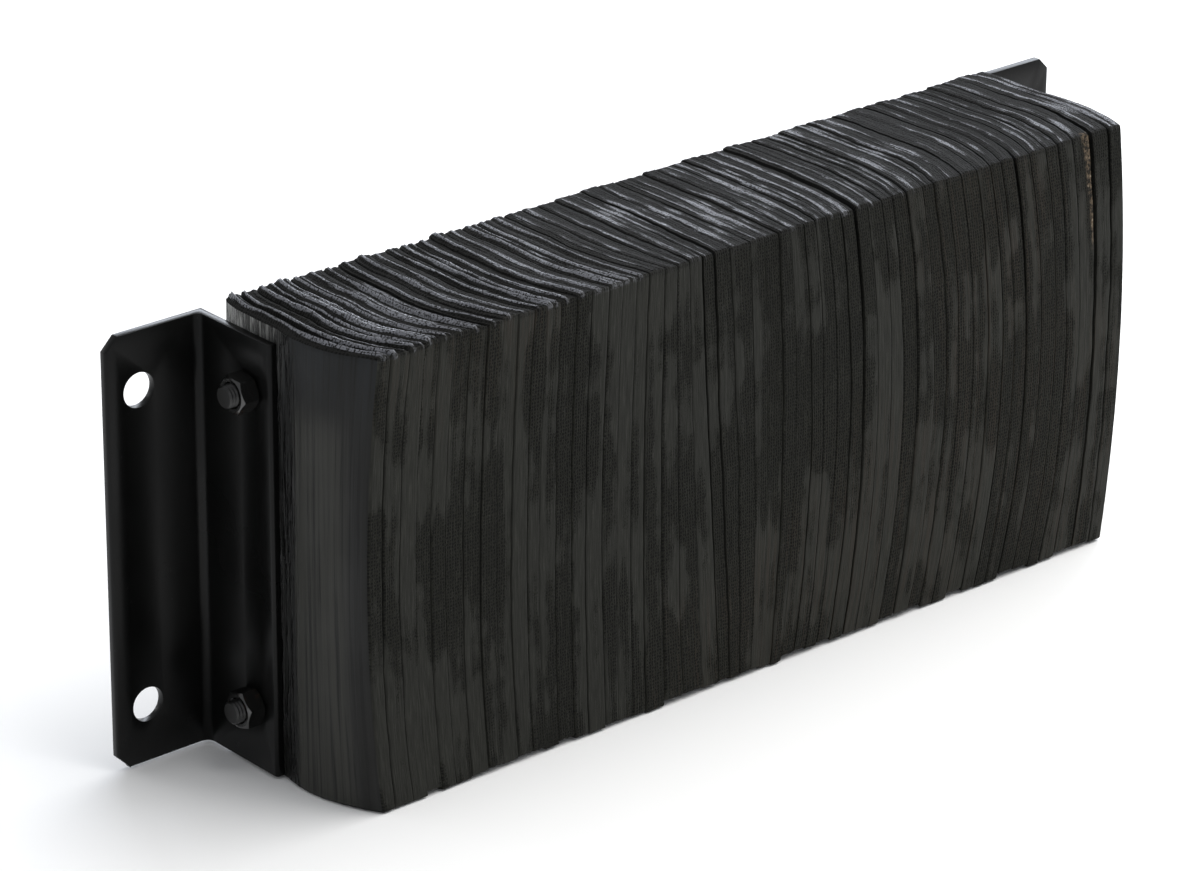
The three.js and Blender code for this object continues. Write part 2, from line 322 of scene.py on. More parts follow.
def rubber_material(pad):
    """Saw-cut tyre rubber. The pattern follows the cut edges by their UV map, in centimetres."""
    material, tree, shader = new_material("cut_rubber")
    place = tree.node("ShaderNodeTexCoord").outputs["Object"]
    edge = tree.node("ShaderNodeUVMap", uv_map="UVMap").outputs["UV"]
    names = ("ply_tone", "top_share", "ridge", "bare_cord")
    tone, top, ridge, bare = (tree.attribute(name)["Fac"] for name in names)
    own = tree.attribute("ply_pattern")["Vector"]
    shifted = tree.node("ShaderNodeVectorMath", {0: edge, 1: own}, operation="ADD").outputs["Vector"]

    bands = tree.stretched(shifted, (1.3, 0.035, 1.0), 1.0, 0.5)
    streaks = tree.stretched(shifted, (9.0, 0.16, 1.0), 3.0, 0.6)
    combed = tree.stretched(shifted, (13.0, 0.5, 1.0), 4.0, 0.7)
    stipple = tree.stretched(shifted, (11.0, 9.0, 1.0), 3.0, 0.7)
    patches = tree.stretched(place, (19.0, 14.0, 11.0), 4.0, 0.6)
    clouds = tree.stretched(place, (5.0, 5.0, 4.0), 2.0, 0.5)
    smears = tree.stretched(place, (16.0, 9.0, 9.0), 4.0, 0.62)
    grain = tree.noise(place, 700.0, 4.0, 0.7)
    crumbs = tree.noise(place, 330.0, 3.0, 0.7)
    dotted = {"Vector": tree.scaled(shifted, (6.0, 5.2, 1.0)), "Scale": 1.0, "Randomness": 0.35}
    dot = tree.ramp(tree.node("ShaderNodeTexVoronoi", dotted).outputs["Distance"], 0.5, 0.26)

    smooth = tree.swayed(tree.swayed(tree.swayed(bands, patches, 2.1), tone, 0.26), stipple, 0.35)
    smooth = tree.ramp(smooth, 0.44, 0.62)
    stippled = tree.minus(1.0, smooth)
    front = tree.mix(smooth, pad.rubber, pad.smooth_rubber)
    front = tree.mix(tree.ramp(clouds, 0.38, 0.62), tree.mix(0.3, front, CLOUDED), front)
    front = tree.mix(tree.times(tree.ramp(combed, 0.54, 0.38), 0.62), front, COMBED_DARK)
    front = tree.mix(tree.times(tree.ramp(combed, 0.54, 0.68), 0.4), front, COMBED_LIGHT)
    stained = tree.times(tree.ramp(streaks, 0.48, 0.6), tree.ramp(clouds, 0.47, 0.58))
    front = tree.mix(tree.times(stained, 0.42), front, pad.brown)

    # The crests on top get a lighter bluish colour that is partly smeared rubber and partly a painted sheen
    smear_and_sheen = tree.plus(smears, tree.times(ridge, 0.5))
    smear_and_sheen = tree.swayed(tree.swayed(smear_and_sheen, streaks, 0.4), combed, 0.5)
    smear_and_sheen = tree.times(tree.ramp(smear_and_sheen, 0.575, 0.665), tree.ramp(stipple, 0.42, 0.50))
    above = tree.mix(smear_and_sheen, tree.mix(tone, TOP_DARK, TOP_LIGHT), pad.top_smear_and_sheen)
    base = tree.mix(top, front, above)

    scores = tree.times(tree.ramp(streaks, 0.40, 0.32), tree.blend(top, 0.45, 0.7))
    base = tree.mix(scores, base, SCORED)
    rough_share = tree.blend(top, stippled, tree.minus(1.0, smear_and_sheen))
    cord_ends = tree.times(tree.times(dot, rough_share), 0.9)
    base = tree.mix(cord_ends, base, CORD_END)
    base = tree.mix(tree.times(tree.ramp(grain, 0.66, 0.8), 0.25), base, SPECK)
    mottled = tree.mix(tree.ramp(crumbs, 0.44, 0.54), CRUMB, pad.cord)
    mottled = tree.mix(tree.ramp(crumbs, 0.60, 0.68), mottled, FRAYED_CORD)
    tree.feed(shader.inputs["Base Color"], tree.mix(bare, base, mottled))

    front_rough = tree.blend(smooth, 0.9, 0.68)
    top_rough = tree.blend(smear_and_sheen, 0.9, 0.26)
    tree.feed(shader.inputs["Roughness"], tree.blend(top, front_rough, top_rough))
    shader.inputs["Specular IOR Level"].default_value = 0.2

    relief = tree.times(streaks, tree.blend(top, 0.45, 0.6))
    relief = tree.plus(relief, tree.times(combed, tree.blend(top, 0.35, 0.8)))
    relief = tree.plus(relief, tree.times(stipple, tree.blend(rough_share, 0.1, 0.75)))
    relief = tree.plus(relief, tree.times(grain, 0.25))
    relief = tree.minus(relief, tree.times(cord_ends, 0.9))
    tree.feed(shader.inputs["Normal"], tree.bump(relief, 0.75, 0.0007))
    return material


def moulded_material(pad):
    """The smooth outer face at each end of the stack, with rubbed upright streaks, a worn band and a painted
    highlight at its back top.
    """
    material, tree, shader = new_material("moulded_rubber")
    place = tree.node("ShaderNodeTexCoord").outputs["Object"]
    x, y, z = tree.node("ShaderNodeSeparateXYZ", {0: place}).outputs
    streaks = tree.stretched(place, (30.0, 420.0, 7.0), 4.0, 0.6)
    wide = tree.stretched(place, (20.0, 95.0, 4.0), 3.0, 0.55)
    drips = tree.stretched(place, (30.0, 260.0, 26.0), 3.0, 0.6)
    highlight_streaks = tree.stretched(place, (40.0, 1000.0, 14.0), 3.0, 0.65)
    cloud = tree.noise(place, 22.0)
    grain = tree.noise(place, 800.0, 3.0, 0.65)
    depth = tree.swayed(y, wide, 0.012)

    band = tree.times(tree.ramp(depth, -0.056, -0.044), tree.ramp(depth, -0.011, -0.015))
    band = tree.times(band, tree.ramp(z, 0.226, 0.202))
    # A painted highlight: the back top of each outer face is lightened with the worn band's colour
    back_top_highlight = tree.times(tree.ramp(depth, -0.022, 0.030), tree.ramp(z, 0.215, 0.245))
    light = tree.plus(tree.times(band, 0.75), back_top_highlight, clamp=True)
    light = tree.times(light, tree.blend(tree.ramp(streaks, 0.32, 0.62), 0.35, 1.0))
    base = tree.mix(tree.ramp(wide, 0.35, 0.7), pad.moulded, MOULDED_LIGHT)
    base = tree.mix(light, base, pad.worn_band_and_highlight)
    bluish = tree.times(tree.ramp(z, 0.20, 0.25), tree.ramp(streaks, 0.35, 0.6))
    base = tree.mix(tree.times(bluish, 0.4), base, BLUISH)

    # Only the left end gets a painted pale highlight at its back top corner, broken into streaks
    corner = tree.times(tree.ramp(depth, -0.012, 0.036), tree.ramp(z, 0.208, 0.244))
    corner = tree.times(corner, tree.ramp(x, 0.05, -0.05))
    corner_highlight = tree.times(corner, tree.blend(tree.ramp(highlight_streaks, 0.40, 0.58), 0.4, 1.0))
    base = tree.mix(corner_highlight, base, CORNER_HIGHLIGHT)
    base = tree.mix(tree.times(tree.ramp(streaks, 0.48, 0.34), 0.75), base, STREAKED)

    # Glossy drips run down beside the angle iron
    beside_iron = tree.ramp(depth, -0.017, -0.011)
    glossy = tree.times(tree.ramp(drips, 0.47, 0.55), beside_iron)
    base = tree.mix(tree.times(glossy, 0.8), base, GLOSSY)
    tree.feed(shader.inputs["Base Color"], base)
    rough = tree.blend(tree.ramp(cloud, 0.3, 0.7), 0.38, 0.55)
    tree.feed(shader.inputs["Roughness"], tree.blend(glossy, rough, 0.16))
    shader.inputs["Specular IOR Level"].default_value = 0.19
    relief = tree.plus(tree.times(streaks, 0.8), tree.times(grain, 0.12))
    runs = tree.times(tree.ramp(drips, 0.42, 0.62), beside_iron)
    streaked = tree.bump(relief, 0.6, 0.0006)
    tree.feed(shader.inputs["Normal"], tree.bump(runs, 1.0, 0.0016, streaked))
    return material


def paint_material(name, paint, roughness, gloss, rust=None):
    """Brushed-on black paint over steel, thinner in places and rusty where a rust colour is given."""
    material, tree, shader = new_material(name)
    place = tree.node("ShaderNodeTexCoord").outputs["Object"]
    cloud = tree.noise(place, 14.0)
    orange_peel = tree.noise(place, 900.0, 2.0)
    speck = tree.noise(place, 350.0, 4.0, 0.7)
    base = tree.mix(tree.ramp(speck, 0.66, 0.74), paint, CHIPPED_PAINT)
    if rust is not None:
        worn = tree.times(tree.ramp(cloud, 0.58, 0.7), tree.ramp(speck, 0.55, 0.7))
        base = tree.mix(tree.times(worn, 0.5), base, rust)
    tree.feed(shader.inputs["Base Color"], base)
    patchy = tree.blend(tree.ramp(cloud, 0.3, 0.7), roughness - 0.06, roughness + 0.08)
    tree.feed(shader.inputs["Roughness"], patchy)
    shader.inputs["Specular IOR Level"].default_value = gloss
    relief = tree.plus(tree.times(orange_peel, 0.6), tree.times(cloud, 0.5))
    tree.feed(shader.inputs["Normal"], tree.bump(relief, 0.35, 0.0002))
    return material


# Geometry node trees

def new_geometry_tree(name, inputs):
    """A geometry tree with a geometry output and named inputs: name, socket type and default."""
    group = bpy.data.node_groups.new(name, "GeometryNodeTree")
    for label, kind, default in inputs:
        socket = group.interface.new_socket(name=label, in_out="INPUT", socket_type=kind)
        if default is not None:
            socket.default_value = default
    group.interface.new_socket(name="Geometry", in_out="OUTPUT", socket_type="NodeSocketGeometry")
    tree = Tree(group)
    source = tree.node("NodeGroupInput").outputs
    return group, tree, source


def finish_geometry_tree(tree, geometry, material_socket):
    """Ends a tree: instances made real, then the material set."""
    real = tree.node("GeometryNodeRealizeInstances", {"Geometry": geometry})
    painted = tree.node("GeometryNodeSetMaterial", {"Geometry": real.outputs["Geometry"]})
    tree.feed(painted.inputs["Material"], material_socket)
    tree.node("NodeGroupOutput", {"Geometry": painted.outputs["Geometry"]})


def applied(piece, group, values):
    """The piece's mesh after a geometry tree, as a plain mesh on the same object."""
    modifier = piece.modifiers.new(group.name, "NODES")
    modifier.node_group = group
    sockets = [item for item in group.interface.items_tree if item.in_out == "INPUT"]
    identifiers = {socket.name: socket.identifier for socket in sockets}
    for label, value in values.items():
        modifier[identifiers[label]] = value
    depsgraph = bpy.context.evaluated_depsgraph_get()
    made = bpy.data.meshes.new_from_object(piece.evaluated_get(depsgraph))
    old = piece.data
    piece.modifiers.remove(modifier)
    piece.data = made
    made.name = piece.name
    bpy.data.meshes.remove(old)
    return piece


def ragged_edge_tree():
    """Pushes the cut edges of a ply in and out: its ridge, the marks of the saw and fine torn fuzz."""
    group, tree, source = new_geometry_tree(
        "Ragged cut edges",
        [
            ("Geometry", "NodeSocketGeometry", None),
            ("Saw marks", "NodeSocketFloat", 0.001),
            ("Fuzz height", "NodeSocketFloat", 0.0005),
            ("Seed", "NodeSocketFloat", 0.0),
            ("Material", "NodeSocketMaterial", None),
        ],
    )

    def stored(name, kind="FLOAT"):
        made = tree.node("GeometryNodeInputNamedAttribute", {"Name": name}, data_type=kind)
        return made.outputs["Attribute"]

    along, across, rough_share = (stored(name) for name in ("edge_run", "across", "ridge_share"))

    def pattern(across_scale, along_scale, detail, shift):
        x, y = tree.times(across, across_scale), tree.times(along, along_scale)
        spot = tree.node("ShaderNodeCombineXYZ", {"X": x, "Y": y}).outputs["Vector"]
        inputs = {"Vector": spot, "W": tree.plus(source["Seed"], shift), "Scale": 1.0, "Detail": detail}
        noise = tree.node("ShaderNodeTexNoise", inputs, noise_dimensions="4D").outputs["Fac"]
        return tree.minus(noise, 0.5)

    saw = tree.times(pattern(0.42, 0.018, 2.0, 0.0), source["Saw marks"])
    wander = tree.times(pattern(0.04, 0.05, 1.0, 7.0), source["Saw marks"])
    saw = tree.times(tree.plus(saw, wander), rough_share)
    swell = tree.plus(tree.times(pattern(0.02, 0.03, 2.0, 5.0), 2.2), 1.0)
    ridge = tree.times(stored("ridge_height"), swell)
    fuzz = tree.times(pattern(0.9, 0.75, 2.0, 3.0), source["Fuzz height"])
    fuzz = tree.times(fuzz, tree.plus(rough_share, 0.2))
    push = tree.plus(tree.plus(saw, ridge), fuzz)
    outwards = {0: stored("cut_normal", "FLOAT_VECTOR"), "Scale": push}
    offset = tree.node("ShaderNodeVectorMath", outwards, operation="SCALE").outputs["Vector"]
    moved = tree.node("GeometryNodeSetPosition", {"Geometry": source["Geometry"], "Offset": offset})
    finish_geometry_tree(tree, moved.outputs["Geometry"], source["Material"])
    return group


# Fineness of a rod: points along it and sides around it
ROD_STEPS = 1200
ROD_SIDES = 40


def threaded_rod_tree():
    """A round bar along X whose radius rises and falls along a thread at both ends."""
    group, tree, source = new_geometry_tree(
        "Threaded rod",
        [
            ("Geometry", "NodeSocketGeometry", None),
            ("Half length", "NodeSocketFloat", 0.3),
            ("Radius", "NodeSocketFloat", 0.008),
            ("Pitch", "NodeSocketFloat", 0.0023),
            ("Depth", "NodeSocketFloat", 0.001),
            ("Threaded", "NodeSocketFloat", 0.045),
            ("Centre", "NodeSocketVector", (0.0, 0.0, 0.0)),
            ("Material", "NodeSocketMaterial", None),
        ],
    )
    ends = []
    for sign in (-1.0, 1.0):
        reach = tree.times(source["Half length"], sign)
        ends.append(tree.node("ShaderNodeCombineXYZ", {"X": reach}).outputs["Vector"])
    line = tree.node("GeometryNodeCurvePrimitiveLine", {"Start": ends[0], "End": ends[1]}).outputs["Curve"]
    fine = tree.node("GeometryNodeResampleCurve", {"Curve": line, "Count": ROD_STEPS}).outputs["Curve"]
    place = tree.node("GeometryNodeInputPosition").outputs["Position"]
    x = tree.node("ShaderNodeSeparateXYZ", {0: place}).outputs["X"]
    from_end = tree.minus(source["Half length"], tree.math("ABSOLUTE", x))
    turn = tree.math("PINGPONG", from_end, tree.math("DIVIDE", source["Pitch"], 2.0))
    groove = tree.times(tree.math("DIVIDE", turn, source["Pitch"]), source["Depth"])
    threaded = tree.math("LESS_THAN", from_end, source["Threaded"])
    shallow = tree.minus(source["Depth"], tree.times(groove, 2.0))
    chamfer = tree.minus(source["Depth"], from_end)
    cut = tree.math("MAXIMUM", tree.times(shallow, threaded), chamfer)
    radius = tree.minus(source["Radius"], tree.math("MAXIMUM", cut, 0.0))
    sized = tree.node("GeometryNodeSetCurveRadius", {"Curve": fine, "Radius": radius}).outputs["Curve"]
    ring = tree.node("GeometryNodeCurvePrimitiveCircle", {"Resolution": ROD_SIDES, "Radius": 1.0})
    swept = {
        "Curve": sized,
        "Profile Curve": ring.outputs["Curve"],
        "Scale": tree.node("GeometryNodeInputRadius").outputs["Radius"],
        "Fill Caps": True,
    }
    bar = tree.node("GeometryNodeCurveToMesh", swept).outputs["Mesh"]
    placed = tree.node("GeometryNodeSetPosition", {"Geometry": bar, "Offset": source["Centre"]})
    finish_geometry_tree(tree, placed.outputs["Geometry"], source["Material"])
    return group


# Meshes

def new_object(name, mesh):
    piece = bpy.data.objects.new(name, mesh)
    bpy.context.scene.collection.objects.link(piece)
    return piece


def finish_piece(piece, slot, *nodes):
    """Makes a finished piece stand for its construction nodes."""
    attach(piece, "root")
    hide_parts(*nodes)


def face_outwards(mesh):
    """Turns the faces of a closed mesh outwards."""
    work = bmesh.new()
    work.from_mesh(mesh)
    bmesh.ops.recalc_face_normals(work, faces=work.faces)
    work.to_mesh(mesh)
    work.free()


def ring_faces(near, far, count):
    """Faces between two closed rings of points, given the first point of each."""
    pairs = [(i, (i + 1) % count) for i in range(count)]
    return [(near + i, near + k, far + k, far + i) for i, k in pairs]


def uneven(index, purpose):
    """A value from 0 to 1 that is always the same for one ply and one purpose."""
    wave = math.sin(index * 12.9898 + purpose * 78.233) * 43758.5453
    return wave - math.floor(wave)


# How near to the toes a point of a ply counts as beside them, in millimetres
TOE_REACH = 0.3


def ply_faces(name):
    """Where a ply's two faces stand beside the toes of the angle irons, where the stack is straight."""
    points = node_points(name)
    at_toe = points[np.abs(points[:, 1] - (WALL_Y - LEG)) < TOE_REACH]
    return float(at_toe[:, 0].min()), float(at_toe[:, 0].max())


PLY_FACES = {name: ply_faces(name) for name in PLY_NAMES}
HALF_STACK = PLY_FACES[PLY_NAMES[-1]][1]
PROJECTION = WALL_Y - float(cad_bounds[0][1]) / MM
PLY_TOP = float(cad_bounds[1][2]) / MM
PLY_BACK = max(node_box(name)[1][1] for name in PLY_NAMES) - WALL_Y

# Splits that stand open: place along the stack, width at the front, and length of bare cord from the top
SPLITS = (
    (-262.0, 0.8, 0.0),
    (-35.3, 0.9, 0.0),
    (72.0, 1.6, 0.0),
    (196.0, 1.8, 0.0),
    (249.0, 2.6, 70.0),
    (262.7, 1.5, 0.0),
)

# How near a split a ply's face belongs to it, and how far from the wall a split begins
SPLIT_MATCH = 5.0
SPLIT_START = 20

# Where along the stack the bow sets in and dies out, and where the lean is and how far it reaches
BOW_GROWS = (-60, 70)
BOW_FADES = (195, 280)
LEAN_PLACE = -38
LEAN_REACH = 30

# Waves of the line between two plies: period from front to back, period in height, and share
WAVES = ((70, 210, 0.5), (31, 83, 0.3), (13, 29, 0.2))


def eased(value, low, high):
    """0 below low, 1 above high and smooth between them."""
    share = np.clip((value - low) / (high - low), 0, 1)
    return share * share * (3 - 2 * share)


def shift_at(pad, place, y, z):
    """Sideways shift of a ply's face. y is measured from the wall and is negative towards the front."""
    along = place / HALF_STACK
    forward = np.maximum(0, (-y - LEG) / (PROJECTION - LEG))
    backward = np.maximum(0, (pad.back_bend + y) / (pad.back_bend + PLY_BACK))
    from_middle = 2 * z / PLY_TOP - 1
    inset = pad.front_inset + pad.corner_inset * from_middle**2
    bulge = pad.bulge * 4 * forward * (1 - forward)
    bow = pad.bow * eased(place, *BOW_GROWS) * (1 - eased(place, *BOW_FADES)) * from_middle**2
    lean = pad.lean * math.exp(-(((place - LEAN_PLACE) / LEAN_REACH) ** 2)) * from_middle
    ends = along * (bulge - inset * forward**2 - pad.back_inset * backward**2)
    return (pad.front_drift - bow - lean) * forward**2 + ends


def boundary_wave(pad, boundary, y, z):
    """Sideways wander of the line between two plies, the same for both of them."""
    wave = np.zeros_like(y)
    if boundary in (0, len(PLY_NAMES)):
        return wave
    for order, (period_y, period_z, share) in enumerate(WAVES):
        phase = 2 * math.pi * uneven(boundary, 20 + order)
        slant = 2 * math.pi * uneven(boundary, 30 + order)
        upright = share * np.sin(2 * math.pi * z / period_z + phase)
        wave += upright * np.cos(2 * math.pi * y / period_y + slant)
    return pad.wander * (0.4 + 1.2 * uneven(boundary, 40)) * wave


def split_width(place, y, z):
    """Half of the extra opening between two plies, widest at the front and top."""
    forward = np.clip((-y - SPLIT_START) / (PROJECTION - SPLIT_START), 0, 1)
    opening = np.zeros_like(y)
    for where, width, _ in SPLITS:
        near = abs(place - where) < SPLIT_MATCH
        opening = opening + near * width / 2 * forward * (0.2 + 0.8 * z / PLY_TOP)
    return opening


# A ply's rim: radius of its corners, then distance between points and share of the marks for each run
CORNER_RADIUS = 1.3
RIM_STEPS = {"bottom": 2.5, "front": 2.0, "top": 1.1, "back": 3.0}
RIDGE_SHARES = {"bottom": 1.9, "front": 0.25, "top": 0.8, "back": 1.8}


def rim_path(low, high):
    """Outline of a ply seen from the side: points, outward directions, runs, shares of marks and of top."""
    (back, front), (bottom, top) = (high[0], low[0]), (low[1], high[1])
    r = CORNER_RADIUS
    corners = {
        "bottom": ((back, bottom), (front, bottom), (0, -1)),
        "front": ((front, bottom), (front, top), (-1, 0)),
        "top": ((front, top), (back, top), (0, 1)),
        "back": ((back, top), (back, bottom), (1, 0)),
    }
    points, normals, shares, tops = [], [], [], []
    names = list(corners)
    for number, name in enumerate(names):
        start, end, normal = (np.array(part, float) for part in corners[name])
        run = np.linalg.norm(end - start)
        way = (end - start) / run
        count = max(3, round((run - 2 * r) / RIM_STEPS[name]))
        following = names[(number + 1) % len(names)]
        for share in np.linspace(0, 1, count, endpoint=False):
            points.append(start + way * (r + share * (run - 2 * r)))
            normals.append(normal)
            shares.append(RIDGE_SHARES[name])
            tops.append(1.0 if name == "top" else 0.0)
        centre = end - way * r - normal * r
        for turn in (0.0, 0.5):
            angle = turn * math.pi / 2
            out = normal * math.cos(angle) + way * math.sin(angle)
            points.append(centre + out * r)
            normals.append(out)
            shares.append((RIDGE_SHARES[name] + RIDGE_SHARES[following]) / 2)
            tops.append(0.5 if "top" in (name, following) else 0.0)
    points, normals = np.array(points), np.array(normals)
    steps = np.linalg.norm(np.roll(points, -1, axis=0) - points, axis=1)
    runs = np.concatenate([[0], np.cumsum(steps)[:-1]])
    return points, normals, runs, np.array(shares), np.array(tops)


def across_stations(thickness, left_rounding, right_rounding):
    """Places across a ply's edge, close together at its two worn edges, and how deep each lies."""
    steps, drops = (0.0, 0.35, 1.0), (1.0, 0.3, 0.0)
    left_edge = [left_rounding * step for step in steps]
    right_edge = [thickness - right_rounding * step for step in reversed(steps)]
    inner = np.linspace(left_rounding, thickness - right_rounding, 12)[1:-1]
    places = np.concatenate([left_edge, inner, right_edge])
    left_drop = [left_rounding * drop for drop in drops]
    right_drop = [right_rounding * drop for drop in reversed(drops)]
    return places, np.concatenate([left_drop, np.zeros(len(inner)), right_drop])


def rod_rings(radius, sides):
    """Outlines of the two rod holes, seen from the side."""
    angles = np.arange(sides) * 2 * math.pi / sides
    circle = np.stack([np.cos(angles), np.sin(angles)], axis=1) * radius
    rings = []
    for height in HEIGHTS:
        low, high = node_box(f"tie_rod_{height}")
        rings.append(circle + np.array([(low[1] + high[1]) / 2 - WALL_Y, (low[2] + high[2]) / 2]))
    return rings


def side_triangles(outline, rings, spacing):
    """Inner points and triangles of a ply's side, whose outline and rod holes are given."""
    low, high = outline.min(axis=0), outline.max(axis=0)
    margin = max(4.0, spacing * 0.6)
    centres = [ring.mean(axis=0) for ring in rings]
    radius = np.linalg.norm(rings[0][0] - centres[0])

    def clear_of_holes(point, distance):
        return all(np.hypot(*(point - centre)) > distance for centre in centres)

    def stations(axis):
        count = max(2, round((high[axis] - low[axis]) / spacing))
        return np.linspace(low[axis] + margin, high[axis] - margin, count)

    grid = [np.array((y, z)) for y in stations(0) for z in stations(1)]
    inner = np.array([point for point in grid if clear_of_holes(point, radius + 2)])
    points = np.concatenate([outline, *rings, inner])
    edges = []
    start = 0
    for loop in (outline, *rings):
        count = len(loop)
        edges += [(start + i, start + (i + 1) % count) for i in range(count)]
        start += count
    result = delaunay_2d_cdt([Vector(p) for p in points], edges, [], 1, 1e-5)
    if len(result[0]) != len(points):
        raise RuntimeError("the side of a ply gained points")
    origin = [sources[0] for sources in result[3]]
    triangles = [[origin[i] for i in face] for face in result[2]]
    return inner, [face for face in triangles if clear_of_holes(points[face].mean(axis=0), radius * 0.99)]


def set_attribute(mesh, name, values):
    """Gives each point of a mesh a value, or a vector where the values have three columns."""
    kind, field = ("FLOAT_VECTOR", "vector") if values.ndim == 2 else ("FLOAT", "value")
    layer = mesh.attributes.new(name, kind, "POINT")
    layer.data.foreach_set(field, np.ascontiguousarray(values, dtype=np.float32).ravel())


# Values of the ply meshes that no user would change, with lengths and places in millimetres
FLOOR_GAP = 0.2
TOP_ALLOWANCE = 0.6
RIDGES_FULL = -210
RIDGES_LOW = -60
SECOND_CREST_WIDTH = 0.12
ROD_HOLE_GAP = 0.3
ROD_HOLE_SIDES = 20
OUTER_SPACING = 5.0
INNER_SPACING = 18.0


def ply_mesh(pad, number, name):
    """One ply: a finely divided cut edge all round, and two sides with the rod holes."""
    left, right = PLY_FACES[name]
    low, high = node_box(name)
    low[1] = pad.front_trim * uneven(number, 3) - PROJECTION
    low[2] += FLOOR_GAP + pad.bottom_trim * uneven(number, 5)
    high[1] -= WALL_Y + pad.back_trim * uneven(number, 15)
    high[2] = PLY_TOP + TOP_ALLOWANCE - pad.top_trim * uneven(number, 4)
    towards_left = np.clip((RIDGES_LOW - left) / (RIDGES_LOW - RIDGES_FULL), 0, 1)
    ridge = pad.ridge_top * (0.22 + 0.78 * towards_left) * (0.6 + 0.7 * uneven(number, 10))
    first_crest, first_width = 0.18 + 0.2 * uneven(number, 11), 0.11 + 0.08 * uneven(number, 12)
    second_crest, second_height = 0.68 + 0.14 * uneven(number, 13), 0.9 * uneven(number, 14)
    path, normals, runs, shares, tops = rim_path(low[1:], high[1:])
    roundings = [pad.edge_round * (0.35 + 1.9 * uneven(number, purpose) ** 2) for purpose in (6, 16)]
    places, depths = across_stations(right - left, *roundings)
    count, width = len(path), len(places)
    ends = {-1: number == 0, 1: number == len(PLY_NAMES) - 1}

    def place_x(place, y, z, side, fade=1.0):
        """Where points at a place across the ply end up along the stack."""
        opening = split_width(left if side < 0 else right, y, z) * fade
        share = (place - left) / (right - left)
        wave = boundary_wave(pad, number, y, z) * (1 - share) + boundary_wave(pad, number + 1, y, z) * share
        return place + shift_at(pad, place, y, z) + wave - side * opening

    points, directions = [], []
    labels = ("edge_run", "across", "ridge_share", "top_share", "ridge", "outer_face", "cut")
    layers = {label: [] for label in labels}
    for across, depth in zip(places, depths):
        spot = path - normals * depth
        side = -1 if across < (right - left) / 2 else 1
        share = across / (right - left)
        x = place_x(left + across, spot[:, 0], spot[:, 1], side, abs(2 * share - 1))
        points.append(np.column_stack([x, spot]))
        directions.append(np.column_stack([np.zeros(count), normals]))
        hump = math.exp(-(((share - first_crest) / first_width) ** 2))
        hump += second_height * math.exp(-(((share - second_crest) / SECOND_CREST_WIDTH) ** 2))
        at_side = depth > 0 and across in (places[0], places[-1])
        outer = float(at_side and ends[side])
        for label, values in zip(labels, (runs, left + across, shares, tops, hump * tops, outer, 1.0)):
            layers[label].append(np.broadcast_to(values, count))
    faces = []
    for station in range(width - 1):
        faces += ring_faces(station * count, (station + 1) * count, count)

    rings = rod_rings(ROD_RADIUS + ROD_HOLE_GAP, ROD_HOLE_SIDES)
    ring_starts = {}
    total = count * width
    for side, station in ((-1, 0), (1, width - 1)):
        outline = points[station][:, 1:]
        inner, triangles = side_triangles(outline, rings, OUTER_SPACING if ends[side] else INNER_SPACING)
        extra = np.concatenate([*rings, inner])
        x = place_x(left if side < 0 else right, extra[:, 0], extra[:, 1], side)
        points.append(np.column_stack([x, extra]))
        directions.append(np.zeros((len(extra), 3)))
        for label in labels:
            layers[label].append(np.full(len(extra), float(label == "outer_face" and ends[side])))
        edge_start, side_start = station * count, total - count
        for corners in triangles:
            faces.append(tuple(i + (edge_start if i < count else side_start) for i in corners))
        ring_starts[side] = total
        total += len(extra)
    for ring_number in range(len(rings)):
        offset = ring_number * ROD_HOLE_SIDES
        faces += ring_faces(ring_starts[-1] + offset, ring_starts[1] + offset, ROD_HOLE_SIDES)

    points = np.concatenate(points)
    layers = {label: np.concatenate(columns) for label, columns in layers.items()}
    runs, across, tops, ridges = (layers[label] for label in ("edge_run", "across", "top_share", "ridge"))
    cut = layers.pop("cut")
    pattern = (uneven(number, 8) * 40, uneven(number, 9) * 40, 0)
    layers["ridge"] = (ridges - 0.33 * tops) * min(1.0, ridge / pad.ridge_top + 0.2)
    layers["ridge_height"] = (ridges - 0.3 * tops) * ridge * MM
    layers["cut_normal"] = np.concatenate(directions)
    layers["ply_tone"] = np.full(len(points), uneven(number, 7))
    layers["ply_pattern"] = np.tile(pattern, (len(points), 1))
    layers["bare_cord"] = bare_cord(right, across, points, cut)

    mesh = bpy.data.meshes.new(name)
    world = (points + np.array([0, WALL_Y, 0])) * MM
    mesh.from_pydata(world.tolist(), [], faces)
    face_outwards(mesh)
    for label, values in layers.items():
        set_attribute(mesh, label, values)
    flat = np.where(cut > 0, across, points[:, 1]), np.where(cut > 0, runs, points[:, 2])
    layer = mesh.uv_layers.new(name="UVMap")
    corners = np.empty(len(mesh.loops), dtype=np.int32)
    mesh.loops.foreach_get("vertex_index", corners)
    layer.data.foreach_set("uv", (np.column_stack(flat)[corners] / 10).astype(np.float32).ravel())
    mesh.polygons.foreach_set("use_smooth", np.ones(len(mesh.polygons), dtype=bool))
    return mesh


def rest_on_floor(mesh):
    """Presses what reaches below the floor level back up to it."""
    for vertex in mesh.vertices:
        vertex.co.z = max(vertex.co.z, 0.0)


def mark_moulded_face(mesh, material):
    """Gives the outer face of an end ply its own material."""
    outer = np.empty(len(mesh.vertices), dtype=np.float32)
    mesh.attributes["outer_face"].data.foreach_get("value", outer)
    if outer.max() < 0.5:
        return
    mesh.materials.append(material)
    for polygon in mesh.polygons:
        if outer[list(polygon.vertices)].min() > 0.5:
            polygon.material_index = 1


# The strip of bare cord: its width at the bottom and the top, its soft edge and its depth from the front
CORD_WIDTHS = (1.5, 6.0)
CORD_EDGE = 0.9
CORD_DEPTH = 5


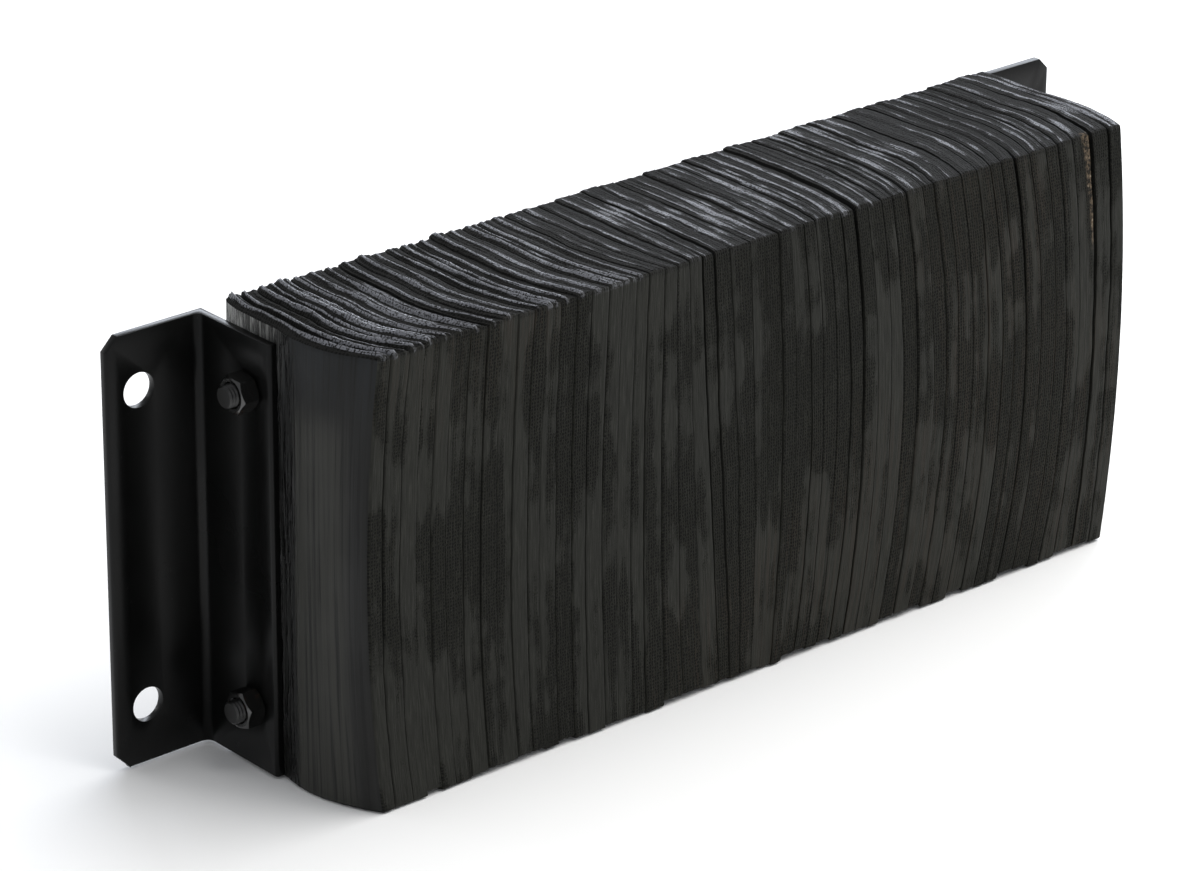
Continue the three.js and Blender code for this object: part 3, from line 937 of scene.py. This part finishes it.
def bare_cord(right, across, points, cut):
    """Share of bare cord along the left lip of the widest split."""
    shown = np.zeros(len(points))
    for where, _, cord_length in SPLITS:
        if cord_length and abs(right - where) < SPLIT_MATCH:
            high_enough = np.clip((points[:, 2] - (PLY_TOP - cord_length)) / cord_length, 0, 1)
            strip = CORD_WIDTHS[0] + (CORD_WIDTHS[1] - CORD_WIDTHS[0]) * high_enough
            lip = np.clip((across - (right - strip)) / CORD_EDGE, 0, 1) * (high_enough > 0)
            front = points[:, 1] < -PROJECTION + CORD_DEPTH
            shown = np.maximum(shown, cut * lip * front)
    return shown


def angle_section(steel):
    """Points of the angle's section from its heel, as distances along the wall leg and the clamping leg."""
    t, root, toe = steel.thickness, steel.root_radius, steel.toe_radius

    def arc(centre, radius, start, end, steps=8):
        angles = np.linspace(math.radians(start), math.radians(end), steps + 1)
        return [(centre[0] + radius * math.cos(a), centre[1] + radius * math.sin(a)) for a in angles]

    return [
        (0, 0),
        (LEG, 0),
        *arc((LEG - toe, t - toe), toe, 0, 90),
        *arc((t + root, t + root), root, 270, 180),
        *arc((t - toe, LEG - toe), toe, 0, 90),
        (0, LEG),
    ]


def prism(points, low, high):
    """A closed mesh between two heights over an outline, as a bmesh."""
    work = bmesh.new()
    rings = [[work.verts.new((x, y, z)) for x, y in points] for z in (low, high)]
    corners = rings[0] + rings[1]
    work.faces.new(rings[0])
    work.faces.new(list(reversed(rings[1])))
    for near, following, beyond, far in ring_faces(0, len(points), len(points)):
        work.faces.new((corners[near], corners[far], corners[beyond], corners[following]))
    bmesh.ops.recalc_face_normals(work, faces=work.faces)
    return work


# Sides of the bars that cut the mounting holes and the rod holes
HOLE_SIDES = 64
ROD_CUT_SIDES = 48


def cutter(spot, axis, radius, depth, sides):
    """A many-sided bar around a spot, turned about an axis, for cutting a hole or a corner."""
    work = bmesh.new()
    bmesh.ops.create_cone(
        work, cap_ends=True, segments=sides, radius1=radius * MM, radius2=radius * MM, depth=depth * MM
    )
    work.transform(Matrix.Translation(Vector(spot) * MM) @ Matrix.Rotation(math.pi / 2, 4, axis))
    mesh = bpy.data.meshes.new("cutter")
    work.to_mesh(mesh)
    work.free()
    return new_object("cutter", mesh)


def angle_iron(steel, side_name):
    """One angle iron: rolled section, clipped corners, two mounting holes and two rod holes."""
    side = SIDES[side_name]
    low, high = node_box(f"angle_iron_{side_name}")
    middle = (low[2] + high[2]) / 2
    heel = side * LEG_PLANE
    outline = [((heel + side * x) * MM, (WALL_Y - y) * MM) for x, y in angle_section(steel)]
    work = prism(outline, low[2] * MM, high[2] * MM)
    mesh = bpy.data.meshes.new(f"painted_angle_iron_{side_name}")
    work.to_mesh(mesh)
    work.free()
    piece = new_object(mesh.name, mesh)
    reach = steel.thickness * 4
    tools = []
    for end in (-1, 1):
        hole = (heel + side * steel.hole_from_heel, WALL_Y, middle + end * steel.hole_spacing / 2)
        corner = (heel + side * LEG, WALL_Y, middle + end * (high[2] - low[2]) / 2)
        tools.append(cutter(hole, "X", steel.hole / 2, reach, HOLE_SIDES))
        tools.append(cutter(corner, "X", steel.corner_cut, reach, 4))
    for height in HEIGHTS:
        rod_low, rod_high = node_box(f"tie_rod_{height}")
        rod = (heel, (rod_low[1] + rod_high[1]) / 2, (rod_low[2] + rod_high[2]) / 2)
        tools.append(cutter(rod, "Y", ROD_RADIUS + 0.5, reach, ROD_CUT_SIDES))
    for tool in tools:
        cut = piece.modifiers.new("Cut", "BOOLEAN")
        cut.operation = "DIFFERENCE"
        cut.solver = "EXACT"
        cut.object = tool
    round_off = piece.modifiers.new("Round off", "BEVEL")
    round_off.width = steel.edge_round * MM
    round_off.segments = 2
    round_off.limit_method = "ANGLE"
    round_off.angle_limit = math.radians(40)
    depsgraph = bpy.context.evaluated_depsgraph_get()
    made = bpy.data.meshes.new_from_object(piece.evaluated_get(depsgraph))
    piece.modifiers.clear()
    piece.data = made
    bpy.data.meshes.remove(mesh)
    made.name = piece.name
    for tool in tools:
        bpy.data.meshes.remove(tool.data)
    made.shade_smooth()
    made.set_sharp_from_angle(angle=math.radians(28))
    return piece


# Points around a nut
NUT_SIDES = 96


def nut_mesh(fasteners, name):
    """A chamfered hex nut with a countersunk bore, from rings of points about X."""
    low, high = node_box(name)
    centre = (low + high) / 2
    half = (high[0] - low[0]) / 2
    apothem = fasteners.across_flats / 2
    face = apothem * fasteners.face_share
    bore = ROD_RADIUS + 0.15
    rim = bore + fasteners.countersink
    angles = np.arange(NUT_SIDES) * 2 * math.pi / NUT_SIDES
    hexagon = apothem / np.cos((angles - nut_turn(name)) % (math.pi / 3) - math.pi / 6)
    slope = (hexagon - face) * math.tan(math.radians(30))
    near = [(bore, fasteners.countersink - half), (rim, -half), (face, -half), (hexagon, slope - half)]
    rings = near + [(radii, -along) for radii, along in reversed(near)]
    points = []
    for radii, along in rings:
        x = np.full(NUT_SIDES, centre[0]) + along
        y = centre[1] + radii * np.cos(angles)
        z = centre[2] + radii * np.sin(angles)
        points.append(np.column_stack([x, y, z]))
    faces = []
    for j in range(len(rings)):
        faces += ring_faces(j * NUT_SIDES, (j + 1) % len(rings) * NUT_SIDES, NUT_SIDES)
    mesh = bpy.data.meshes.new(name)
    mesh.from_pydata((np.concatenate(points) * MM).tolist(), [], faces)
    face_outwards(mesh)
    mesh.shade_smooth()
    mesh.set_sharp_from_angle(angle=math.radians(20))
    return mesh


def nut_turn(name):
    """The angle at which a construction nut is turned about the rod, read from its widest points."""
    low, high = node_box(name)
    offsets = node_points(name)[:, 1:] - ((low + high) / 2)[1:]
    corner = offsets[np.hypot(offsets[:, 0], offsets[:, 1]).argmax()]
    return math.atan2(corner[1], corner[0])


# Operators

class BUMPER_OT_plies(bpy.types.Operator):
    """Build the rubber plies with their saw-cut edges"""

    bl_idname = "bumper.plies"
    bl_label = "Rubber plies"

    def execute(self, context):
        pad = context.scene.bumper_pad
        rubber = rubber_material(pad)
        moulded = moulded_material(pad)
        tree = ragged_edge_tree()
        for number, name in enumerate(PLY_NAMES):
            piece = new_object(f"rubber_{name}", ply_mesh(pad, number, name))
            values = {
                "Saw marks": pad.saw_marks * MM,
                "Fuzz height": pad.fuzz * MM,
                "Seed": pad.seed + 0.35 * number,
                "Material": rubber,
            }
            applied(piece, tree, values)
            rest_on_floor(piece.data)
            mark_moulded_face(piece.data, moulded)
            finish_piece(piece, "rubber", name)
        return {"FINISHED"}


class BUMPER_OT_angle_irons(bpy.types.Operator):
    """Build the two painted angle irons"""

    bl_idname = "bumper.angle_irons"
    bl_label = "Angle irons"

    def execute(self, context):
        steel = context.scene.bumper_steel
        paint = paint_material("satin_black_paint", steel.paint, 0.30, 0.18)
        for side_name in SIDES:
            piece = angle_iron(steel, side_name)
            piece.data.materials.clear()
            piece.data.materials.append(paint)
            finish_piece(piece, "painted_steel", f"angle_iron_{side_name}")
        return {"FINISHED"}


class BUMPER_OT_tie_rods(bpy.types.Operator):
    """Build the two threaded tie rods"""

    bl_idname = "bumper.tie_rods"
    bl_label = "Tie rods"

    def execute(self, context):
        fasteners = context.scene.bumper_fasteners
        paint = paint_material("rod_paint", fasteners.paint, 0.28, 0.5, fasteners.rust)
        tree = threaded_rod_tree()
        for height in HEIGHTS:
            low, high = node_box(f"tie_rod_{height}")
            centre = (low + high) / 2 * MM
            piece = new_object(f"threaded_rod_{height}", bpy.data.meshes.new("rod"))
            values = {
                "Half length": float(high[0] - low[0]) / 2 * MM,
                "Radius": ROD_RADIUS * MM,
                "Pitch": fasteners.pitch * MM,
                "Depth": fasteners.thread_depth * MM,
                "Threaded": fasteners.thread_length * MM,
                "Centre": tuple(float(c) for c in centre),
                "Material": paint,
            }
            applied(piece, tree, values)
            piece.data.shade_smooth()
            piece.data.set_sharp_from_angle(angle=math.radians(40))
            finish_piece(piece, "fasteners", f"tie_rod_{height}")
        return {"FINISHED"}


class BUMPER_OT_nuts(bpy.types.Operator):
    """Build the four hex nuts"""

    bl_idname = "bumper.nuts"
    bl_label = "Hex nuts"

    def execute(self, context):
        fasteners = context.scene.bumper_fasteners
        paint = paint_material("nut_paint", fasteners.paint, 0.14, 0.95, fasteners.rust)
        for side_name in SIDES:
            for height in HEIGHTS:
                name = f"hex_nut_{side_name}_{height}"
                piece = new_object(f"painted_{name}", nut_mesh(fasteners, name))
                piece.data.materials.append(paint)
                finish_piece(piece, "fasteners", name)
        return {"FINISHED"}


def area_light(name, energy, size, position, target, tint=(1, 1, 1)):
    light = bpy.data.lights.new(name, "AREA")
    light.energy = energy
    light.color = tint
    light.shape = "RECTANGLE"
    light.size, light.size_y = size
    lamp = bpy.data.objects.new(name, light)
    lamp.location = position
    lamp.rotation_euler = (Vector(target) - Vector(position)).to_track_quat("-Z", "Y").to_euler()
    bpy.context.scene.collection.objects.link(lamp)


class BUMPER_OT_stage(bpy.types.Operator):
    """Set up the camera, the floor and the lights"""

    bl_idname = "bumper.stage"
    bl_label = "Stage"

    def execute(self, context):
        stage = context.scene.bumper_stage
        self.add_camera(context, stage)
        self.add_floor(stage)
        middle = (0.0, 0.0, 0.12)
        area_light("overhead", 80, (3.0, 2.4), (1.05, -0.7, 2.4), middle, (1.0, 0.99, 0.97))
        area_light("back_sheen", 50, (2.6, 1.0), (1.7, 1.9, 1.15), middle, (0.86, 0.91, 1.0))
        area_light("left_fill", 3, (1.2, 1.6), (-2.6, -0.8, 1.0), middle)
        area_light("rim", 7, (0.9, 0.8), (-1.3, 2.4, 0.8), middle)
        world = bpy.data.worlds.new("studio")
        context.scene.world = world
        world.use_nodes = True
        background = world.node_tree.nodes["Background"]
        background.inputs["Color"].default_value = (0.95, 0.97, 1.0, 1.0)
        background.inputs["Strength"].default_value = 0.5
        context.scene.view_settings.view_transform = "Standard"
        return {"FINISHED"}

    def add_camera(self, context, stage):
        heading, tilt, roll = stage.heading, -stage.tilt, stage.roll
        forward = Vector(
            (math.sin(heading) * math.cos(tilt), math.cos(heading) * math.cos(tilt), math.sin(tilt))
        )
        level = Vector((math.cos(heading), -math.sin(heading), 0.0))
        upright = level.cross(forward)
        right = level * math.cos(roll) + upright * math.sin(roll)
        up = upright * math.cos(roll) - level * math.sin(roll)
        camera = bpy.data.objects.new("camera", bpy.data.cameras.new("camera"))
        camera.data.sensor_width = 36.0
        camera.data.lens = stage.lens
        camera.data.clip_end = 50.0
        turn = Matrix((right, up, -forward)).transposed().to_4x4()
        camera.matrix_world = Matrix.Translation(stage.position) @ turn
        context.scene.collection.objects.link(camera)
        context.scene.camera = camera

    def add_floor(self, stage):
        mesh = bpy.data.meshes.new("floor")
        reach = 12.0
        corners = [(-reach, -reach, 0), (reach, -reach, 0), (reach, reach, 0), (-reach, reach, 0)]
        mesh.from_pydata(corners, [], [(0, 1, 2, 3)])
        material, tree, shader = new_material("pale_floor")
        place = tree.node("ShaderNodeTexCoord").outputs["Object"]
        shade = tree.noise(place, 1.5, 2.0)
        darker = tuple(0.985 * value for value in stage.floor)
        tree.feed(shader.inputs["Base Color"], tree.mix(shade, stage.floor, darker))
        shader.inputs["Roughness"].default_value = 0.9
        mesh.materials.append(material)
        floor = new_object("floor", mesh)
        floor.location.z = -0.0005


OPERATORS = (
    BUMPER_OT_plies,
    BUMPER_OT_angle_irons,
    BUMPER_OT_tie_rods,
    BUMPER_OT_nuts,
    BUMPER_OT_stage,
)


class BUMPER_PT_panel(bpy.types.Panel):
    """Lists the steps that build the dock bumper"""

    bl_idname = "BUMPER_PT_panel"
    bl_label = "Dock bumper"
    bl_space_type = "VIEW_3D"
    bl_region_type = "UI"
    bl_category = "Dock bumper"

    def draw(self, context):
        for settings, group in SETTINGS.items():
            box = self.layout.box()
            box.label(text=group.__doc__)
            for name in group.__annotations__:
                box.prop(getattr(context.scene, settings), name)
        for operator in OPERATORS:
            self.layout.operator(operator.bl_idname)


CLASSES = (*SETTINGS.values(), *OPERATORS, BUMPER_PT_panel)


def register():
    for cls in CLASSES:
        bpy.utils.register_class(cls)
    for name, group in SETTINGS.items():
        setattr(bpy.types.Scene, name, bpy.props.PointerProperty(type=group))


def unregister():
    for name in SETTINGS:
        delattr(bpy.types.Scene, name)
    for cls in reversed(CLASSES):
        bpy.utils.unregister_class(cls)


def main():
    register()
    bpy.ops.bumper.stage()
    bpy.ops.bumper.plies()
    bpy.ops.bumper.angle_irons()
    bpy.ops.bumper.tie_rods()
    bpy.ops.bumper.nuts()


if __name__ == "__main__":
    main()
